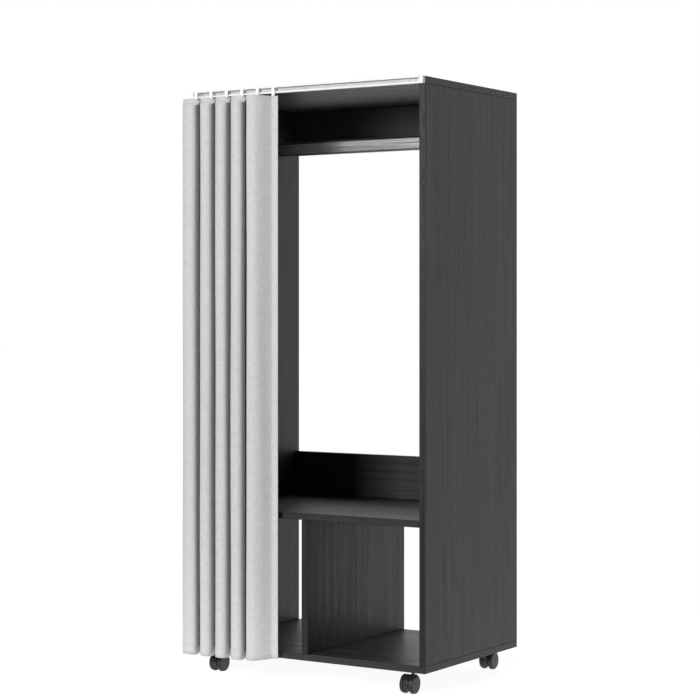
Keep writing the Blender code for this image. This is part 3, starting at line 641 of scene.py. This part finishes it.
def make_stitches(skin):
    """Small closed pills of thread along the hems, on the cloth's front."""
    left, right = SIDE_HEM - STITCH_INSET, flat_width - SIDE_HEM + STITCH_INSET
    foot, top = FOOT_HEM - STITCH_INSET, curtain_height - TOP_HEM + STITCH_INSET
    lines = [((0, foot), (flat_width, foot)), ((0, top), (flat_width, top))]
    lines += [((place, foot), (place, top)) for place in (left, right)]
    sides = STITCH_SIDES
    ring = [(math.cos(math.tau * k / sides), math.sin(math.tau * k / sides)) for k in range(sides)]
    points, faces = [], []
    for start, end in lines:
        for middle, way, out in zip(*stitch_row(start, end)):
            beside = np.cross(way, out)
            seat = middle + out * (CLOTH / 2 + HEM_PROUD + STITCH_THICK * STITCH_SEAT)
            first = len(points)
            points.append(seat - way * STITCH_LENGTH / 2)
            for share in (-STITCH_SHOULDER, STITCH_SHOULDER):
                shoulder = seat + way * STITCH_LENGTH * share
                points += [shoulder + (out * a + beside * b) * STITCH_THICK / 2 for a, b in ring]
            points.append(seat + way * STITCH_LENGTH / 2)
            near, far, last = first + 1, first + 1 + sides, first + 1 + 2 * sides
            for k in range(sides):
                n = (k + 1) % sides
                faces.append((first, near + n, near + k))
                faces.append((near + k, near + n, far + n, far + k))
                faces.append((far + k, far + n, last))
    mesh = bpy.data.meshes.new("curtain_stitches")
    mesh.from_pydata([tuple(p) for p in points], [], faces)
    bm = bmesh.new()
    bm.from_mesh(mesh)
    bmesh.ops.recalc_face_normals(bm, faces=bm.faces)
    bm.to_mesh(mesh)
    bm.free()
    return placed("curtain_stitches", mesh, skin)


curtain = make_curtain(linen())
thread = plain_finish(
    "sewing_thread", (0.60, 0.60, 0.605), (0.68, 0.68, 0.685), 0.8, specular=0.2, waves=1200.0
)
stitches = make_stitches(thread)
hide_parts("curtain")
for piece in (curtain, stitches):
    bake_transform(piece)


# Studio
def seen_or_light(tree, seen, glow):
    """One strength for what the picture shows of the surroundings, another for the light they give."""
    direct = add(tree, "ShaderNodeLightPath").outputs["Is Camera Ray"]
    return mixed(tree, direct, glow, seen, kind="FLOAT")


def make_floor():
    """A pale floor whose light fades out in front of the wardrobe."""
    made, tree, shader = finish("pale_floor", 0.8, specular=0.1)
    paint(tree, shader, mottled(tree, FLOOR_WAVES, FLOOR_STOPS))
    shader.inputs["Emission Color"].default_value = (1, 1, 1, 1)
    lit = None
    for away, start, end in FLOOR_FADES:
        reach = dot(tree, coordinates(tree), (*away, 0.0))
        fade = spread(tree, reach, 1.0, 0.0, start, end, easing="SMOOTHSTEP")
        lit = fade if lit is None else maths(tree, "MULTIPLY", lit, fade)
    fading = maths(tree, "MULTIPLY", lit, FLOOR_GLOW - FLOOR_FRONT_GLOW)
    glow = maths(tree, "ADD", fading, FLOOR_FRONT_GLOW)
    tree.links.new(seen_or_light(tree, FLOOR_SEEN, glow), shader.inputs["Emission Strength"])
    bm = bmesh.new()
    bmesh.ops.create_grid(bm, x_segments=1, y_segments=1, size=FLOOR_HALF)
    mesh = bpy.data.meshes.new("studio_floor")
    bm.to_mesh(mesh)
    bm.free()
    mesh.materials.append(made)
    floor = bpy.data.objects.new("studio_floor", mesh)
    bpy.context.scene.collection.objects.link(floor)


def make_world():
    """A studio that looks white all round and gives most of its light from behind the wardrobe."""
    world = bpy.data.worlds.new("studio")
    world.use_nodes = True
    tree = world.node_tree
    behind = dot(tree, coordinates(tree, "Generated"), GLOW_AXIS)
    glow = spread(tree, behind, FRONT_GLOW, BACK_GLOW, GLOW_START, GLOW_END, easing="SMOOTHSTEP")
    shader = tree.nodes["Background"]
    shader.inputs["Color"].default_value = (1, 1, 1, 1)
    tree.links.new(seen_or_light(tree, SEEN_WHITE, glow), shader.inputs["Strength"])
    bpy.context.scene.world = world


def make_key_light():
    """One soft square light in front of the wardrobe."""
    data = bpy.data.lights.new("key_light", "AREA")
    data.energy = KEY_POWER
    data.size = KEY_SIZE
    made = bpy.data.objects.new("key_light", data)
    bpy.context.scene.collection.objects.link(made)
    made.location = KEY_AT
    made.rotation_euler = (Vector(KEY_AIM) - Vector(KEY_AT)).to_track_quat("-Z", "Y").to_euler()


def make_camera():
    """The photograph's camera, which looks level, with its frame shifted down."""
    data = bpy.data.cameras.new("photo_camera")
    data.lens = CAMERA_LENS_MM
    data.sensor_width = SENSOR_MM
    data.shift_y = CAMERA_SHIFT_Y
    made = bpy.data.objects.new("photo_camera", data)
    bpy.context.scene.collection.objects.link(made)
    made.location = CAMERA_AT
    made.rotation_euler = (math.pi / 2, 0, CAMERA_AZIMUTH)
    bpy.context.scene.camera = made


make_floor()
make_world()
make_key_light()
make_camera()
bpy.context.scene.view_settings.view_transform = "Standard"
